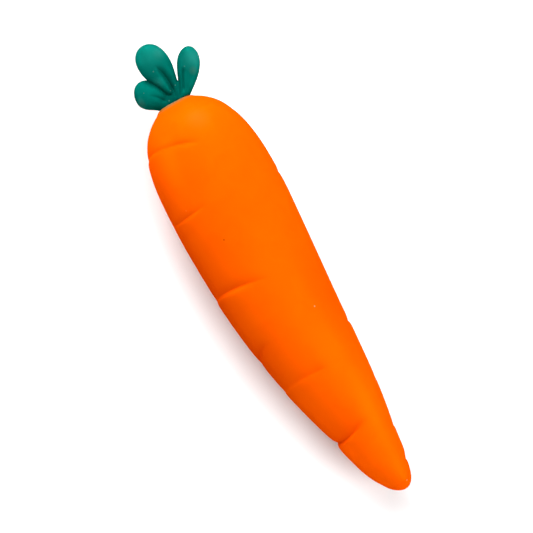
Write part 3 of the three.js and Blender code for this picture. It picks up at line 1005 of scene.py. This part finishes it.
def orange_rubber():
    """The root's material, its colours laid one over another. The rim's mask is cubed for the dusting, which
    lies only where the tan is deepest."""
    recipe = Recipe("orange_rubber")
    smear = smears(recipe, ORANGE_SMEAR)
    colour = recipe.blend(ORANGE, SMEARED_ORANGE, smear)
    # Painted shade and painted light, from the mesh.
    colour = recipe.blend(colour, PAINTED_SHADE_ORANGE, recipe.attribute("deep"))
    colour = recipe.blend(colour, PAINTED_LIGHT_ORANGE, recipe.attribute("pale"))
    # The creases are painted darker, as painted shade.
    colour = recipe.blend(colour, CREASE_SHADE_ORANGE, (recipe.attribute("crease") * CREASE_SHADE_SHARE).clamped())
    rim = recipe.attribute("rim")
    colour = recipe.blend(colour, RIM_TAN, rim)
    colour = recipe.blend(colour, RIM_DUST, (rim * rim * rim * recipe.noise(RIM_DUST_SIZE)).clamped())
    # A painted highlight on the crown.
    crown_highlight = recipe.spot(top_point(root.data, CROWN_HIGHLIGHT["across"], CROWN_HIGHLIGHT["along"]), CROWN_HIGHLIGHT["radius"])
    colour = recipe.blend(colour, HIGHLIGHT_ORANGE, (crown_highlight * (smear + CROWN_HIGHLIGHT["least"])).clamped())
    return satin(recipe, specked(recipe, colour, root.data, ORANGE_SPECKS), smear, ORANGE_TINT)


# %% [markdown]
# ## Teal rubber
#
# The tuft is the same rubber in a dark blue-green. The tips and some of the edges carry patches of painted
# light, and the neck, the folds and the gaps between the leaves are painted darker as painted shade. A few
# patches of dust lie on it too. The patches are spots about a point of the surface, broken up by the smears,
# so that none has a hard edge.

# %% Teal rubber
TEAL = (0.0, 0.102, 0.079)
SMEARED_TEAL = (0.0, 0.118, 0.092)
# Painted shade for the folds, the neck and the gaps between the leaves.
PAINTED_SHADE_TEAL = (0.0, 0.045, 0.036)
# Painted light for patches on the tips and along some edges.
PAINTED_LIGHT_TEAL = (0.014, 0.2, 0.165)
PAINTED_LIGHT_PATCHES = (
    {"across": 3.0, "along": -17.0, "radius": 7.0, "strength": 0.2},
    {"across": 15.0, "along": -9.0, "radius": 5.0, "strength": 0.5},
    {"across": -9.2, "along": -5.8, "radius": 2.0, "strength": 0.4},
    {"across": -0.5, "along": -7.8, "radius": 2.6, "strength": 0.4},
    {"across": 6.2, "along": -17.2, "radius": 2.6, "strength": 0.45},
    {"across": 16.3, "along": -9.2, "radius": 2.6, "strength": 0.4},
)
PATCH_LEAST = 0.5
DUSTY_TEAL = (0.028, 0.1, 0.075)
DUSTY_PATCHES = (
    {"across": 13.2, "along": -5.2, "radius": 1.9, "strength": 0.45},
    {"across": 5.6, "along": -16.0, "radius": 2.6, "strength": 0.15},
    {"across": -9.2, "along": -4.6, "radius": 2.2, "strength": 0.4},
)
TEAL_SPECK = (0.035, 0.14, 0.11)
TEAL_SPECKS = (
    {"across": 0.2, "along": -11.5, "radius": 0.35, "colour": TEAL_SPECK},
    {"across": 10.2, "along": -8.4, "radius": 0.25, "colour": TEAL_SPECK},
    {"across": 3.0, "along": -3.6, "radius": 0.3, "colour": TEAL_SPECK},
    {"across": -0.1, "along": -1.4, "radius": 0.35, "colour": TEAL_SPECK},
    {"across": 5.2, "along": -4.2, "radius": 0.3, "colour": TEAL_SPECK},
    {"across": -6.5, "along": -7.8, "radius": 0.25, "colour": TEAL_SPECK},
)
TEAL_TINT = (0.25, 1.0, 0.9)
TEAL_SMEAR = 4


def teal_rubber():
    """The tuft's material, its colours laid one over another like the root's."""
    recipe = Recipe("teal_rubber")
    smear = smears(recipe, TEAL_SMEAR)

    def patched(colour, patches, patch_colour):
        """The colour with patches blended in, each by its strength times the smears plus PATCH_LEAST."""
        for patch in patches:
            point = top_point(tuft.data, patch["across"], patch["along"])
            share = recipe.spot(point, patch["radius"]) * (smear + PATCH_LEAST) * patch["strength"]
            colour = recipe.blend(colour, patch_colour, share.clamped())
        return colour

    # Patches of painted light on the tips and along some edges.
    colour = patched(recipe.blend(TEAL, SMEARED_TEAL, smear), PAINTED_LIGHT_PATCHES, PAINTED_LIGHT_TEAL)
    # Painted shade in the folds, round the neck and between the leaves.
    colour = recipe.blend(colour, PAINTED_SHADE_TEAL, recipe.attribute("deep"))
    colour = patched(colour, DUSTY_PATCHES, DUSTY_TEAL)
    return satin(recipe, specked(recipe, colour, tuft.data, TEAL_SPECKS), smear, TEAL_TINT)


root.data.materials.append(orange_rubber())
tuft.data.materials.append(teal_rubber())
print("materials:", [material.name for material in bpy.data.materials])

# %% [markdown]
# ## The floor
#
# The toy lies on a pale sweep of paper. A single large matt face is enough, a hair below zero so that it
# doesn't touch the flattened rubber. It is a stage, and no part of the carrot.

# %% Floor
FLOOR_SIDE = 4.0
FLOOR_DROP = 0.0001
PAPER = (0.8, 0.8, 0.8)


def make_floor():
    """One square face round the origin."""
    signs = np.array([(-1, -1), (1, -1), (1, 1), (-1, 1)])
    corners = np.column_stack([signs * FLOOR_SIDE / 2, np.full(4, -FLOOR_DROP)])
    mesh = bpy.data.meshes.new("floor")
    mesh.from_pydata(corners.tolist(), [], [(0, 1, 2, 3)])
    floor = add_object("floor", mesh)
    mesh.materials.append(
        Recipe("pale_floor").finish(Base_Color=PAPER, Roughness=1.0, Specular_IOR_Level=0.0)
    )


make_floor()
print("the floor is", FLOOR_SIDE, "m wide")

# %% [markdown]
# ## Lights
#
# A product table is lit by large soft boxes. The key stands at the upper left of the view, a weaker one
# lights the crown and a third fills the lower right, and the pale world is the bounce of the room. A box
# that lights matt colour well can put its reflection in the wrong place on a fat round form. So the boxes
# are split, as a painter splits light and shine: three boxes light only the matt colour, and three, lower
# ones show only in the sheen. One places the soft highlight on the crown, and the other two draw a band
# down each side.

# %% Lights
LIGHT_DISTANCE = 1.0
BOX_SIDE = 0.7
WORLD_STRENGTH = 0.3


def soft_light(name, towards, lifted, energy, for_sheen=False):
    """An area light. "towards" is degrees clockwise from the top of the view, "lifted" degrees above the
    floor. A light "for_sheen" shows only in glossy reflections, and the others only in the matt colour."""
    lamp = bpy.data.lights.new(name, "AREA")
    lamp.shape = "SQUARE"
    lamp.size = BOX_SIDE
    lamp.energy = energy
    light = add_object(name, lamp)
    heading = math.radians(90 - towards) + CAMERA_TURN
    across = math.cos(math.radians(lifted))
    place = (across * math.cos(heading), across * math.sin(heading), math.sin(math.radians(lifted)))
    light.location = [LIGHT_DISTANCE * c for c in place]
    light.rotation_euler = (math.radians(90 - lifted), 0, heading + math.pi / 2)
    light.visible_diffuse = not for_sheen
    light.visible_glossy = for_sheen


soft_light("key", 330, 30, 15)
soft_light("top", 0, 45, 7.3)
soft_light("fill", 120, 45, 10)
soft_light("crown_sheen", 358, 15, 12, for_sheen=True)
soft_light("right_sheen", 105, 15, 10, for_sheen=True)
soft_light("left_sheen", 270, 15, 9, for_sheen=True)

world = bpy.data.worlds.new("studio")
world.use_nodes = True
room = world.node_tree.nodes["Background"].inputs
room["Color"].default_value = (1, 1, 1, 1)
room["Strength"].default_value = WORLD_STRENGTH
bpy.context.scene.world = world
bpy.context.scene.view_settings.view_transform = "Standard"
